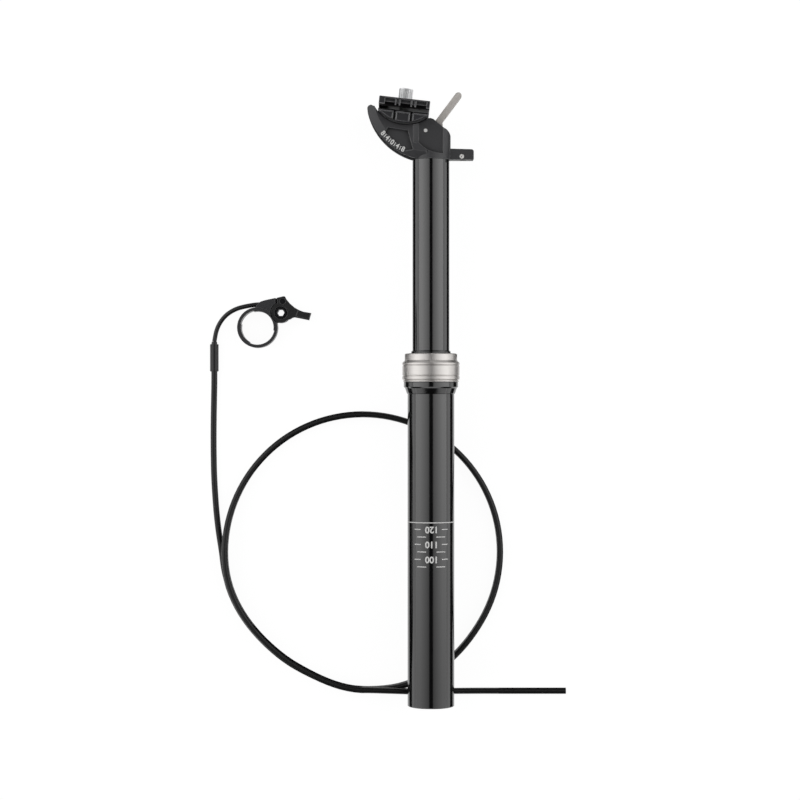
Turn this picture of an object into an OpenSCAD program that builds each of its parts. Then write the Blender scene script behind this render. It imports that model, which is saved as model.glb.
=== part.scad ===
// Dropper seatpost lying on its side with its bar remote and cable housing.
// +Y runs along the post to the saddle, +X is the side of the actuator lever and +Z is up.
// The origin is the centre of the outer tube's lower end.

/* [Post] */
// Diameter of the outer tube, the size of the frame's seat tube
tube_d = 31.6; // [30.9:0.1:34.9]
// Wall of the outer tube
tube_wall = 1.7; // [1.5:0.1:2]
// Length of the outer tube's plain part
tube_len = 210.6; // [205:0.2:300]
// Diameter of the outer tube's flared top
flare_d = 36.8; // [36.4:0.1:37.6]
// Diameter of the stanchion
stanchion_d = 25; // [24:0.1:25.4]
// Wall of the stanchion
stanchion_wall = 1.5; // [1.2:0.1:1.8]
// Drop of the saddle
travel = 125; // [75:1:130]
// Stanchion left between wiper and head when fully dropped
drop_gap = 3.6; // [2:0.1:10]

/* [Collar] */
// Largest diameter of the collar
collar_d = 38.8; // [38.4:0.1:41]
// Height of the collar
collar_h = 19.1; // [18.6:0.1:24]
// Height that the wiper's lip stands above the collar
wiper_lip_h = 2; // [1.8:0.1:3.5]

/* [Head] */
// Half the width of the head's cheeks
cheek_half = 14; // [13.6:0.1:15]
// Radius of the seat that the rail clamp tilts on
seat_r = 24.3; // [24:0.1:24.6]
// Thickness of the seat plate
seat_plate = 4; // [3:0.1:4.5]
// Width of the actuator lever's arm
lever_w = 4.6; // [3:0.1:5]
// Thickness of the actuator lever
lever_t = 3.8; // [3:0.1:4.2]
// Diameter of the cable housing's seat in the lug
stop_d = 4.3; // [4.25:0.05:4.4]

/* [Rail clamp] */
// Distance between the saddle rails
rail_gauge = 44; // [43:0.5:44]
// Diameter of a saddle rail
rail_d = 7; // [7:0.1:7.2]
// Half the width of the clamp, which is also the axis height over the surface
clamp_half = 25.4; // [25.4:0.1:26]
// Length of the clamp along the rails
clamp_len = 34; // [30:0.2:34]
// Tilt of the clamp in the photographed position
clamp_tilt = -6.5; // [-8:0.5:0]
// Diameter of the clamp bolt's shank
bolt_d = 6; // [5:0.5:6]
// Diameter of the clamp bolt's head
bolt_head_d = 9.5; // [8.2:0.1:10]

/* [Remote] */
// Diameter of the handlebar
bar_d = 22.2; // [22:0.1:22.4]
// Width of the bar clamp ring
ring_w = 11; // [10:0.5:14]
// Outer radius of the bar clamp ring
ring_r = 13.8; // [13.2:0.1:14]
// Radius of the paddle's hub
hub_r = 6.9; // [6.5:0.1:7.2]
// Diameter of the noodle
noodle_d = 3.1; // [2.6:0.1:3.2]
// Diameter of the housing cup
cup_d = 5.9; // [5.4:0.1:5.9]

/* [Cable] */
// Diameter of the cable housing
cord_d = 4.2; // [4:0.1:4.2]
// Radius of the housing's loops
loop_r = 94.1; // [90:0.1:96]

/* [Hidden] */
$fn = 64;

// Clearances: seated pieces, running pieces, faces that pass each other, and a hair for cuts
seat_gap = 0.05;
run_gap = 0.05;
pass_gap = 0.3;
cut = 1;

floor_z = -clamp_half;

// Outer tube and what it holds
tube_r = tube_d / 2;
bore_r = tube_r - tube_wall;
cone_len = 5.4;
flare_len = 2.8;
collar_y = tube_len + cone_len + flare_len;
collar_top = collar_y + collar_h;
neck_r = tube_r + 1.4;
neck_top = collar_y + 12.3;
wiper_top = collar_top + wiper_lip_h;
stanchion_r = stanchion_d / 2;
stanchion_bore = stanchion_r - stanchion_wall;
head_y = wiper_top + drop_gap + travel;

plug_y = 3;
plug_h = 9;
plug_top = plug_y + plug_h;
bumper_h = 2.2;
foot_gap = 0.8;
stanchion_y = plug_top + bumper_h + foot_gap + travel;
circlip_t = 1;
circlip_y = plug_y - circlip_t - seat_gap;
rod_bolt_r = 3;
rod_bolt_head = 2.2;

foam_h = 5;
upper_bush_len = 0.12 * tube_len;
upper_bush_y = neck_top - foam_h - seat_gap - upper_bush_len;
lower_bush_len = 0.12 * tube_len;
lower_bush_y = stanchion_y + 3;
key_w = 2.4;
key_len = 0.076 * tube_len;
key_y = upper_bush_y - key_len - seat_gap;
key_in = stanchion_r - 0.8;
key_out = bore_r + 0.5;
key_gap = 0.1;
groove_y = plug_top + 6;

// Gas cartridge inside the stanchion
spigot_len = 26;
spigot_r = stanchion_bore - seat_gap;
cart_r = stanchion_bore - 1.5;
cart_wall = 1.1;
cart_in = cart_r - cart_wall;
inner_r = cart_in - 0.65;
inner_wall = 0.7;
inner_bore = inner_r - inner_wall;
guide_h = 6;
guide_y = stanchion_y + 10;
cart_y = guide_y - 0.5;
inner_y = guide_y + guide_h;
spigot_y = head_y - spigot_len;
valve_h = 8;
valve_y = spigot_y - 1.5 - valve_h;
inner_top = valve_y;
boss_r = 5.9;
boss_len = 13;
rod_r = 4;
piston_h = 10;
piston_y = inner_y + 9;
rod_y = plug_top;
rod_tip_r = 2.5;
pin_r = 1.5;
pushrod_r = 2.2;
lever_pin_r = 1.2;

// Head, from the stanchion's axis and the head's lower edge
head_r = stanchion_r + 0.8;
pivot_x = -3.7;
pivot_y = head_y + 18.9;
tilt_x = -16.7;
tilt_y = head_y + 22.3 + seat_r;
rim_r = 43.8;
rim_x = -0.1;
rim_y = head_y + 0.98 * rim_r;
tip_turn = 192.8;
tip_r = 2.2;
nose_r = 1.6;
nose_gap = 0.1;
slot_half = lever_t / 2 + 0.4;
flat_half = 10.2;
lug_x = 28.8;
lug_h = 7;
lug_half = 4.5;
stop_x = 21.6;
stop_depth = 5;
screw_x = stop_x - 0.9;
screw_y = head_y + 2.1;
wire_r = 0.8;
lever_tip = [19.8, pivot_y + 26.3];
lever_root = [4.8, pivot_y + 6.2];
cavity_half = 8.5;

// Rail clamp, in its own frame: x along the rails, y up from the tilt centre
rail_v = 9.7 - seat_r;
rail_r = rail_d / 2;
split = 2;
clamp_top = rail_v + 6.2;
cradle_r = seat_r - pass_gap;
cradle_half = cheek_half + 2.4;
bolt_r = bolt_d / 2;
bolt_top = 1.5;
crown_h = 1.6;
washer_h = 1.2;
washer_r = bolt_head_d / 2 + 0.8;
nut_in = seat_r + seat_plate + pass_gap;
nut_h = 6;
bolt_end = nut_in + nut_h + 1.4;

// Remote, from the centre of the bar clamp ring on the surface
ring_x = -118.3;
ring_y = 256.1;
bar_r = bar_d / 2;
relief_r = bar_r + 0.6;
hub_x = 16;
hub_y = 10.1;
leaf_z = 1;
leaf_h = 3.6;
hub_z = leaf_z + leaf_h + 0.6;
hub_h = 4.6;
body_h = 10.4;
bolt_flange_r = 3.7;
hollow_r = 3.1;
hex_r = 2.5;
barrel_at = [1.2, 7.8];
barrel_r = 1.9;

// Housing: what it lies on, the step between two strands, and the angles where it changes level
cord_r = cord_d / 2;
cord_sides = 8;
coil_sides = 6;
lay_z = floor_z + cord_r;
cord_pitch = cord_d + 0.45;
loop_x = -46.5;
loop_y = 102.7;
wind_start = 195;
wind_end = 990;
ring_step = 15;
join_out = 1.6;
press_in = 4.1;
bow_out = 1.6;
cup_x = -148.3;
cup_y = 226.1;
cup_len = 18.8;
cup_z = floor_z + cup_d / 2;
noodle_x = -117.4;
noodle_y = 272;
noodle_z = floor_z + 6.2;

// Route of the lead from the cup to the loops, hand chosen
lead_route = [
    [-148.3, 221, cup_z],
    [-148.4, 214, cup_z - 0.3],
    [-148.6, 206, lay_z],
    [-148.8, 194, lay_z],
    [-148.9, 181, lay_z],
    [-148.8, 168, lay_z],
    [-148.5, 155, lay_z],
    [-147.8, 142, lay_z],
    [-146.8, 129, lay_z],
    [-145.3, 116, lay_z],
    [-143.3, 103, lay_z],
    [-141.7, 91, lay_z]
];
// Route of the tail from the loops, height over the surface in the last column, hand chosen
tail_route = [
    [-35, 8.5, lay_z + 9.3],
    [-26, 8.2, lay_z + 9.1],
    [-20, 7.9, lay_z + 8.5],
    [-14, 7.5, lay_z + 7],
    [-8, 7.2, lay_z + 5.4],
    [-2, 7, lay_z + 3.9],
    [6, 7, lay_z + 2.4],
    [14, 7, lay_z + 1.2],
    [24, 7, lay_z + 0.4],
    [36, 7, lay_z],
    [48, 7, lay_z],
    [60, 7, lay_z],
    [72, 7, lay_z],
    [82, 7, lay_z],
    [92.9, 7, lay_z]
];
// Route of the noodle from the remote to the cup, hand chosen
noodle_route = [
    [-120, 271.8, noodle_z],
    [-124, 271.2, noodle_z],
    [-128, 270.4, noodle_z - 0.2],
    [-132, 269.3, noodle_z - 0.5],
    [-135.6, 267.7, noodle_z - 0.9],
    [-138.9, 265.6, noodle_z - 1.4],
    [-141.7, 263, noodle_z - 1.9],
    [-144, 260, noodle_z - 2.4],
    [-145.8, 256.7, noodle_z - 2.8],
    [-147.1, 253, noodle_z - 3.1],
    [-147.9, 249, cup_z]
];

// Points of an arc round c from one angle to another
function arc(c, r, from, to, n) =
    [for (i = [0:n]) let (a = from + (to - from) * i / n) c + r * [cos(a), sin(a)]];

// Rises from 0 to 1 between a and b with a level start and end
function ease(x, a, b) = (1 - cos(180 * min(max((x - a) / (b - a), 0), 1))) / 2;

// Loops: each turn climbs onto the one before at the left. All are pressed in at the lower left
// and bowed out below it.
function join(a) = join_out * (1 - ease(a, 235, 290));
function press(a) = let (t = a % 360) press_in * (ease(t, 185, 232) - ease(t, 240, 274));
function bow(a) = let (t = a % 360) bow_out * (ease(t, 268, 288) - ease(t, 296, 330));
function wind_r(a) = loop_r + join(a) - press(a) + bow(a);
function wind_z(a) = lay_z + cord_pitch * (ease(a, 505, 545) + ease(a, 865, 905));
function wind_at(a) = [loop_x + wind_r(a) * cos(a), loop_y + wind_r(a) * sin(a), wind_z(a)];
start_dir = [-sin(wind_start), cos(wind_start), 0];
end_dir = [-sin(wind_end), cos(wind_end), 0];
wind_in = wind_at(wind_start) - cord_d * start_dir;
wind_out = wind_at(wind_end) + cord_d * end_dir;
loop_route = concat([wind_in], [for (a = [wind_start:ring_step:wind_end]) wind_at(a)], [wind_out]);
lead_full = concat([[cup_x, cup_y, cup_z]], lead_route, [wind_in]);
tail_full = concat([wind_out], tail_route);
noodle_full = concat([[noodle_x, noodle_y, noodle_z]], noodle_route,
    [[cup_x, cup_y + cup_len + 1.6, cup_z]]);

// Length of a route, and the least gap between strands of the loops
function length_of(p) = let (s = [for (i = [1:len(p) - 1]) norm(p[i] - p[i - 1])]) s * [for (x = s) 1];
fine = [for (a = [wind_start:5:wind_end]) wind_at(a)];
least_gap = min([for (i = [0:len(fine) - 1]) for (j = [i + 40:1:len(fine) - 1])
    norm(fine[i] - fine[j])]) - cord_d;
echo(loops_least_gap_mm = least_gap);
echo(lead_mm = length_of(lead_full), loops_mm = length_of(fine), tail_mm = length_of(tail_full));

// Direction of a route at one point
function unit(v) = v / norm(v);
function heading(p, i, first, last) =
    i == 0 ? first : i == len(p) - 1 ? last : unit(p[i + 1] - p[i - 1]);

// A tube of flat sides swept along a route, with its two end directions given
module swept(p, r, sides, first, last) {
    rings = [for (i = [0:len(p) - 1])
        let (t = heading(p, i, first, last), s = unit(cross(t, [0, 0, 1])), u = cross(s, t))
        for (k = [0:sides - 1])
            p[i] + r * (cos(90 + 360 * k / sides) * s + sin(90 + 360 * k / sides) * u)];
    last_ring = (len(p) - 1) * sides;
    walls = [for (i = [0:len(p) - 2]) for (k = [0:sides - 1])
        let (a = i * sides + k, b = i * sides + (k + 1) % sides)
        each [[a, b, b + sides], [a, b + sides, a + sides]]];
    caps = [for (k = [1:sides - 2])
        each [[0, k + 1, k], [last_ring, last_ring + k, last_ring + k + 1]]];
    polyhedron(points = rings, faces = concat(walls, caps), convexity = 6);
}

// Turns a shape that stands on z = 0 to lie along the post, from y upwards
module along(y = 0) {
    translate([0, y, 0]) rotate([-90, 0, 0]) children();
}

// A ring round the post's axis
module sleeve(y, h, outer, inner) {
    along(y) difference() {
        cylinder(r = outer, h = h);
        translate([0, 0, -cut]) cylinder(r = inner, h = h + 2 * cut);
    }
}

// A plate of thickness 2 * half, centred on the post's middle plane
module plate(half, points) {
    translate([0, 0, -half]) linear_extrude(2 * half) polygon(points);
}

// Places the rail clamp's own frame in the head
module in_clamp() {
    translate([tilt_x, tilt_y, 0]) rotate([0, 0, clamp_tilt]) children();
}

// Places the remote's own frame on the surface
module in_remote() {
    translate([ring_x, ring_y, floor_z]) children();
}

module outer_tube() {
    color([0.06, 0.06, 0.065]) difference() {
        along() rotate_extrude() polygon([
            [bore_r, 0], [tube_r - 0.4, 0], [tube_r, 0.4], [tube_r, tube_len],
            [tube_r + 0.5, tube_len + 0.3],
            [flare_d / 2 - 0.9, tube_len + cone_len - 1.5],
            [flare_d / 2, tube_len + cone_len - 0.6],
            [flare_d / 2, collar_y - 0.3], [flare_d / 2 - 0.3, collar_y],
            [neck_r, collar_y], [neck_r, neck_top - 0.5], [neck_r - 0.5, neck_top],
            [bore_r, neck_top]]);
        for (k = [0:2]) along() rotate([0, 0, 90 + 120 * k])
            translate([0, -key_w / 2 - key_gap, groove_y])
                cube([key_out + key_gap, key_w + 2 * key_gap, neck_top]);
        along(circlip_y - 0.05) cylinder(r = bore_r + 0.6, h = circlip_t + 0.1);
    }
}

module collar() {
    r = collar_d / 2;
    t = collar_top;
    color([0.74, 0.72, 0.69]) along() rotate_extrude() polygon([
        [neck_r + seat_gap, collar_y], [r - 0.8, collar_y], [r - 0.6, collar_y + 0.2],
        [r - 0.6, collar_y + 0.9], [r - 1, collar_y + 1.1], [r - 1, collar_y + 1.5],
        [r, collar_y + 1.8], [r, collar_y + 3.7], [r - 0.4, collar_y + 4],
        [r - 0.4, collar_y + 4.3], [r - 0.1, collar_y + 4.6], [r - 0.1, t - 8.3],
        [r - 0.4, t - 8.1], [r - 0.4, t - 7.7], [r, t - 7.4], [r, t - 6.3], [r - 0.4, t - 5.9],
        [r - 1.7, t - 4.6], [r - 1.7, t - 0.5], [r - 2.2, t],
        [stanchion_r + 2.4, t], [stanchion_r + 2.4, t - 1.3],
        [stanchion_r + 3.6, t - 1.3], [stanchion_r + 3.6, neck_top + seat_gap],
        [neck_r + seat_gap, neck_top + seat_gap]]);
}

module wiper_seal() {
    r = stanchion_r + run_gap;
    t = collar_top;
    color([0.05, 0.05, 0.05]) along() rotate_extrude() polygon([
        [r + 0.6, neck_top + 0.15], [r + 3.4, neck_top + 0.15], [r + 3.4, t - 1.4],
        [r + 2.2, t - 1.4], [r + 2.1, t - 0.3], [r + 0.95, t + 0.2], [r + 0.8, wiper_top - 0.7],
        [r + 0.4, wiper_top - 0.1], [r, wiper_top], [r, wiper_top - 0.5], [r + 0.4, t - 0.6],
        [r + 0.5, neck_top + 3], [r, neck_top + 2.4], [r, neck_top + 1.9]]);
}

module foam_ring() {
    color([0.2, 0.2, 0.2])
        sleeve(neck_top - foam_h, foam_h, bore_r - seat_gap, stanchion_r + 0.2);
}

module upper_bushing() {
    color([0.75, 0.74, 0.66])
        sleeve(upper_bush_y, upper_bush_len, bore_r - seat_gap, stanchion_r + run_gap);
}

module lower_bushing() {
    color([0.75, 0.74, 0.66])
        sleeve(lower_bush_y, lower_bush_len, bore_r - run_gap, stanchion_r + seat_gap);
}

module guide_keys() {
    color([0.72, 0.58, 0.3]) for (k = [0:2]) along() rotate([0, 0, 90 + 120 * k])
        translate([key_in + seat_gap, -key_w / 2, key_y])
            cube([key_out - key_in - seat_gap, key_w, key_len]);
}

module stanchion() {
    color([0.06, 0.06, 0.065]) difference() {
        along(stanchion_y) rotate_extrude() polygon([
            [stanchion_bore, 0], [stanchion_r - 0.5, 0], [stanchion_r, 0.5],
            [stanchion_r, head_y - stanchion_y - seat_gap],
            [stanchion_bore, head_y - stanchion_y - seat_gap]]);
        for (k = [0:2]) along() rotate([0, 0, 90 + 120 * k])
            translate([key_in, -key_w / 2 - seat_gap, key_y - seat_gap])
                cube([stanchion_r, key_w + 2 * seat_gap, key_len + 2 * seat_gap]);
    }
}

// Side view of the crescent with its seat, and of the round body under the lever
crescent = concat(
    [[-3.2, head_y + 27.8], [-3.2, head_y]],
    arc([rim_x, rim_y], rim_r, 258, tip_turn, 24),
    arc([rim_x, rim_y] + (rim_r - tip_r) * [cos(tip_turn), sin(tip_turn)], tip_r, tip_turn, 40, 8));
shoulder = concat(
    [[-15, head_y - cut], [-15, head_y + 27.8]],
    [[-2.6, head_y + 27], [-0.6, head_y + 27.3], [1.4, head_y + 26.7], [3.4, head_y + 25.1]],
    [[8.4, head_y + 20.9]],
    arc([6.2, head_y + 13.7], 7.5, 62, 0, 8),
    [[head_r + cut, head_y - cut]]);
// Recess in the side of the crescent
pocket = [[-30.9, head_y + 17.4], [-28.9, head_y + 20.5], [-15.6, head_y + 18.4],
    [-12.2, head_y + 5.8], [-18.3, head_y + 5.1]];
// Flat on each side of the round body, with a curved run-out
flat_x = -8.4;
flat_y = head_y + 10.4;
flat_top = head_y + 40.8;
side_flat = concat([[flat_x, flat_top], [flat_x, flat_y]],
    arc([6.8, head_y + 23.9], 20.3, 222, 273, 8),
    [[8, flat_top]]);

module head() {
    color([0.17, 0.17, 0.175]) difference() {
        union() {
            intersection() {
                plate(cheek_half, crescent);
                bevelled_rim();
            }
            intersection() {
                along(head_y) cylinder(r = head_r, h = 30, $fn = 96);
                plate(head_r + cut, shoulder);
            }
            along(spigot_y) cylinder(r = spigot_r, h = spigot_len + cut);
            lug();
        }
        // Room for the clamp's arc over the round body
        translate([tilt_x, tilt_y, -cheek_half - cut])
            cylinder(r = seat_r, h = 2 * (cheek_half + cut), $fn = 160);
        for (s = [-1, 1]) {
            scale([1, 1, s]) translate([0, 0, flat_half])
                linear_extrude(cheek_half) polygon(side_flat);
            // Slope from the cheek down to the flat
            scale([1, 1, s]) translate([0, flat_top, 0]) rotate([90, 0, 0])
                linear_extrude(flat_top - flat_y) polygon([[flat_x, flat_half],
                    [flat_x, cheek_half + cut], [flat_x - 4.5, cheek_half + cut]]);
            scale([1, 1, s]) translate([0, 0, cheek_half - 2.4])
                linear_extrude(cheek_half) polygon(pocket);
        }
        lever_slot();
        nut_cavity();
        bolt_slot();
        along(spigot_y - cut) cylinder(r = boss_r + seat_gap, h = boss_len - 2.5 + cut);
        along(spigot_y) cylinder(r = pushrod_r + run_gap, h = pivot_y - spigot_y);
        translate([pivot_x, pivot_y, -cheek_half]) cylinder(r = lever_pin_r + seat_gap, h = 2 * cheek_half);
        along(head_y - cut) translate([stop_x, 0, 0]) cylinder(d = stop_d, h = stop_depth + cut);
        along(head_y) translate([stop_x, 0, 0]) cylinder(r = wire_r, h = lug_h + cut, $fn = 24);
        translate([screw_x, screw_y, 0]) cylinder(r = 1.55, h = lug_half + cut);
    }
}

// Round outline of the crescent, thinner towards its rim
module bevelled_rim() {
    c = cheek_half;
    translate([rim_x, rim_y, 0]) rotate_extrude($fn = 160) polygon([
        [0, -c - 1], [rim_r - 6.2, -c - 1], [rim_r + 1, -c + 5],
        [rim_r + 1, c - 5], [rim_r - 6.2, c + 1], [0, c + 1]]);
}

// The lug that stops the housing, with its rounded outer corner
module lug() {
    c = 1.6;
    plate(lug_half, concat(
        [[6, head_y], [lug_x - 0.6, head_y], [lug_x, head_y + 0.6]],
        arc([lug_x - c, head_y + lug_h - c], c, 0, 90, 6),
        [[6, head_y + lug_h + 0.6]]));
}

// Slot that the actuator lever swings in, open to the top right
module lever_slot() {
    plate(slot_half, concat(
        arc([pivot_x, pivot_y], 4.4, 250, 110, 8),
        [[0, pivot_y + 22], [30, pivot_y + 22], [30, pivot_y + 2.9], [9, pivot_y - 3.3],
        [4, pivot_y - 5.1]]));
}

// Hollow behind the seat plate for the curved nut, open through the crescent's back
module nut_cavity() {
    inner = seat_r + seat_plate;
    plate(cavity_half, concat(
        arc([tilt_x, tilt_y], inner, 241, 284, 12),
        arc([tilt_x, tilt_y], 60, 284, 241, 12)));
}

// Curved slot through the seat plate, long enough for the clamp's tilt
module bolt_slot() {
    for (a = [-1, 1]) rotate_about_tilt(a * 10)
        along_bolt() cylinder(r = bolt_r + 0.5, h = seat_plate + 8);
    plate(bolt_r + 0.5, concat(
        arc([tilt_x, tilt_y], seat_r - 2, 270 + clamp_tilt - 10, 270 + clamp_tilt + 10, 8),
        arc([tilt_x, tilt_y], seat_r + seat_plate + 2, 270 + clamp_tilt + 10,
            270 + clamp_tilt - 10, 8)));
}

module rotate_about_tilt(a) {
    translate([tilt_x, tilt_y, 0]) rotate([0, 0, clamp_tilt + a]) children();
}

module along_bolt() {
    translate([0, -seat_r + 4, 0]) rotate([90, 0, 0]) children();
}

module lever_pin() {
    color([0.8, 0.8, 0.8]) translate([pivot_x, pivot_y, -flat_half])
        cylinder(r = lever_pin_r, h = 2 * flat_half);
}

module stop_screw() {
    color([0.8, 0.8, 0.8]) translate([screw_x, screw_y, stop_d / 2 + 0.3]) difference() {
        cylinder(r = 1.5, h = lug_half - stop_d / 2 - 0.2);
        translate([0, 0, 1]) cylinder(r = 0.8, h = 5, $fn = 6);
    }
}

module actuator_lever() {
    dir = unit(lever_tip - lever_root);
    side = [-dir[1], dir[0]];
    h = lever_w / 2;
    angle = atan2(dir[1], dir[0]);
    color([0.52, 0.48, 0.44]) difference() {
        union() {
            plate(lever_t / 2, concat(
                arc(lever_tip - h * dir, h, angle - 90, angle + 90, 10),
                [lever_root + h * side, [0.4, pivot_y + 4.4]],
                arc([pivot_x, pivot_y], 3.6, 100, 210, 8),
                [[pivot_x - 1.6, pivot_y - 2.8], [pivot_x + 0.1, pivot_y - 2.7],
                    [-pushrod_r - 0.4, pivot_y - nose_r]],
                arc([0, pivot_y], nose_r, 270, 350, 4),
                [lever_root + [3.2, -2.6], lever_root - h * side + 2 * dir]));
            translate([0, pivot_y, -lever_t / 2]) cylinder(r = nose_r, h = lever_t);
        }
        translate([pivot_x, pivot_y, -lever_t]) cylinder(r = lever_pin_r + run_gap, h = 2 * lever_t);
        along(lever_tip[1] - 12) translate([lever_tip[0] - 1.4, 0, 0])
            cylinder(r = wire_r, h = 12 + cut, $fn = 24);
    }
}

module push_rod() {
    color([0.7, 0.7, 0.7])
        along(spigot_y + boss_len) cylinder(r = pushrod_r,
            h = pivot_y - nose_r - nose_gap - spigot_y - boss_len);
}

module valve_pin() {
    color([0.8, 0.8, 0.8])
        along(valve_y + 2) cylinder(r = pin_r, h = spigot_y + boss_len - valve_y - 2);
}

module valve_body() {
    color([0.6, 0.6, 0.62]) along(valve_y) difference() {
        union() {
            cylinder(r = cart_in - seat_gap, h = valve_h);
            cylinder(r = boss_r, h = spigot_y - valve_y + boss_len - 4);
        }
        translate([0, 0, -cut]) cylinder(r = pin_r + run_gap, h = spigot_len);
    }
}

module cartridge_tube() {
    color([0.12, 0.12, 0.12]) sleeve(cart_y, valve_y + valve_h + 0.6 - cart_y, cart_r, cart_in);
}

module inner_tube() {
    color([0.65, 0.65, 0.67]) sleeve(inner_y, inner_top - inner_y, inner_r, inner_bore);
}

module rod_guide() {
    color([0.6, 0.6, 0.62]) sleeve(guide_y, guide_h, cart_in - seat_gap, rod_r + run_gap);
}

module piston_rod() {
    color([0.8, 0.8, 0.82]) along(rod_y) difference() {
        union() {
            cylinder(r = rod_r, h = piston_y - rod_y);
            cylinder(r = rod_tip_r, h = piston_y + piston_h + 3.5 - rod_y);
        }
        translate([0, 0, -cut]) cylinder(r = rod_bolt_r, h = 16 + cut);
    }
}

module piston() {
    color([0.7, 0.66, 0.5]) along(piston_y) rotate_extrude() polygon([
        [rod_tip_r + seat_gap, 0], [inner_bore - run_gap, 0], [inner_bore - run_gap, 3.8],
        [inner_bore - 1.2, 3.8], [inner_bore - 1.2, 6.2], [inner_bore - run_gap, 6.2],
        [inner_bore - run_gap, piston_h], [rod_tip_r + seat_gap, piston_h]]);
}

module piston_seal() {
    color([0.1, 0.1, 0.1])
        sleeve(piston_y + 3.85, 2.3, inner_bore - run_gap, inner_bore - 1.15);
}

module piston_nut() {
    color([0.7, 0.7, 0.7]) along(piston_y + piston_h) difference() {
        cylinder(r = 4.4, h = 3, $fn = 6);
        translate([0, 0, -cut]) cylinder(r = rod_tip_r + seat_gap, h = 3 + 2 * cut);
    }
}

module bottom_plug() {
    color([0.3, 0.3, 0.31]) along(plug_y) difference() {
        cylinder(r = bore_r - seat_gap, h = plug_h);
        translate([0, 0, -cut]) cylinder(r = rod_bolt_r + seat_gap, h = plug_h + 2 * cut);
    }
}

module plug_circlip() {
    color([0.5, 0.5, 0.5]) difference() {
        sleeve(circlip_y, circlip_t, bore_r + 0.55, bore_r - 1.6);
        translate([-2, circlip_y - cut, 0]) cube([4, circlip_t + 2 * cut, tube_r]);
    }
}

module rod_bolt() {
    color([0.5, 0.5, 0.5]) along(plug_y - rod_bolt_head) difference() {
        union() {
            cylinder(r = 5, h = rod_bolt_head);
            cylinder(r = rod_bolt_r - seat_gap, h = rod_bolt_head + plug_h + 14);
        }
        translate([0, 0, -cut]) cylinder(r = 2.9, h = cut + 1.6, $fn = 6);
    }
}

module bottom_bumper() {
    color([0.15, 0.15, 0.15]) sleeve(plug_top, bumper_h, stanchion_r, rod_r + 1);
}

// Grooves for the two saddle rails
module rail_grooves() {
    for (s = [-1, 1]) translate([-clamp_len, rail_v, s * rail_gauge / 2])
        rotate([0, 90, 0]) cylinder(r = rail_r, h = 2 * clamp_len);
}

module clamp_bolt_hole() {
    translate([0, bolt_top, 0]) rotate([90, 0, 0]) cylinder(r = bolt_r + 0.2, h = 60);
}

// Recesses in the clamp's two ends, between its ribs
module side_recess(u, w, v, h, deep) {
    for (s = [-1, 1]) translate([u, v, s * clamp_half - deep]) cube([w, h, 2 * deep]);
}

module lower_cradle() {
    half = clamp_len / 2;
    top = rail_v - split / 2;
    color([0.11, 0.11, 0.115]) in_clamp() difference() {
        union() {
            // The wings follow the round seat, a little inside it
            translate([0, 0, -clamp_half]) linear_extrude(2 * clamp_half) polygon(concat(
                [[-half, top], [half, top], [half, top - 1.8]],
                [for (a = [305:-5:235]) (cradle_r - 0.4) * [cos(a), sin(a)]],
                [[-half, top - 1.8]]));
            intersection() {
                translate([-half, -cradle_r - cut, -cradle_half])
                    cube([clamp_len, cradle_r + cut + top, 2 * cradle_half]);
                translate([0, 0, -cradle_half]) cylinder(r = cradle_r, h = 2 * cradle_half, $fn = 160);
            }
        }
        // Nothing between the cheeks stands out of the round seat
        translate([0, 0, -cheek_half - pass_gap]) difference() {
            cylinder(r = seat_r + 10, h = 2 * (cheek_half + pass_gap), $fn = 160);
            translate([0, 0, -cut]) cylinder(r = cradle_r, h = 2 * (cheek_half + pass_gap + cut), $fn = 160);
        }
        rail_grooves();
        clamp_bolt_hole();
        for (u = [-6.5, 4.6]) side_recess(u, 1.7, -seat_r, seat_r + top + cut, 4);
        for (p = [[-14.3, 7.1], [-4.1, 8], [7, 8]])
            side_recess(p[0], p[1], -seat_r, seat_r + top - 2.6, 0.8);
        // Lower outer edges, which leave the rails open to view
        side_recess(-half - cut, clamp_len + 2 * cut, top - 1.8, 1.8 + cut, 1.4);
    }
}

module upper_clamp() {
    half = clamp_len / 2;
    low = rail_v + split / 2;
    color([0.09, 0.09, 0.095]) in_clamp() difference() {
        union() {
            translate([0, 0, -clamp_half]) linear_extrude(2 * clamp_half) polygon([
                [-half, low], [half, low], [half, clamp_top - 0.3], [half - 0.3, clamp_top],
                [-half + 0.3, clamp_top], [-half, clamp_top - 0.3]]);
            translate([0, clamp_top - cut, 0]) rotate([-90, 0, 0])
                cylinder(r1 = 9 + cut, r2 = 7.4, h = crown_h + cut);
        }
        rail_grooves();
        clamp_bolt_hole();
        for (u = [-13, -2.6, 8]) side_recess(u, 6.8, low - cut, 4.3 + cut, 1.5);
        for (u = [-5.3, 5.2]) side_recess(u, 1.7, low - cut, 4.3 + cut, 0.8);
    }
}

module bolt_washer() {
    color([0.7, 0.7, 0.7]) in_clamp()
        translate([0, clamp_top + crown_h + washer_h, 0]) rotate([90, 0, 0]) difference() {
            cylinder(r = washer_r, h = washer_h);
            translate([0, 0, -cut]) cylinder(r = bolt_r + 0.2, h = washer_h + 2 * cut);
        }
}

module clamp_bolt() {
    head_h = bolt_top - clamp_top - crown_h - washer_h;
    knurls = 20;
    color([0.82, 0.81, 0.79]) in_clamp() translate([0, bolt_top, 0]) rotate([90, 0, 0]) difference() {
        union() {
            cylinder(r1 = bolt_head_d / 2 - 0.4, r2 = bolt_head_d / 2, h = 0.4);
            translate([0, 0, 0.4]) cylinder(d = bolt_head_d, h = head_h - 0.4);
            cylinder(r = bolt_r, h = bolt_top + bolt_end);
        }
        translate([0, 0, -cut]) cylinder(r = 2.9, h = cut + 4, $fn = 6);
        for (k = [0:knurls - 1]) rotate([0, 0, 360 * k / knurls])
            translate([bolt_head_d / 2 + 0.15, 0, 0.8]) cylinder(r = 0.4, h = head_h - 1.6, $fn = 4);
    }
}

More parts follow.
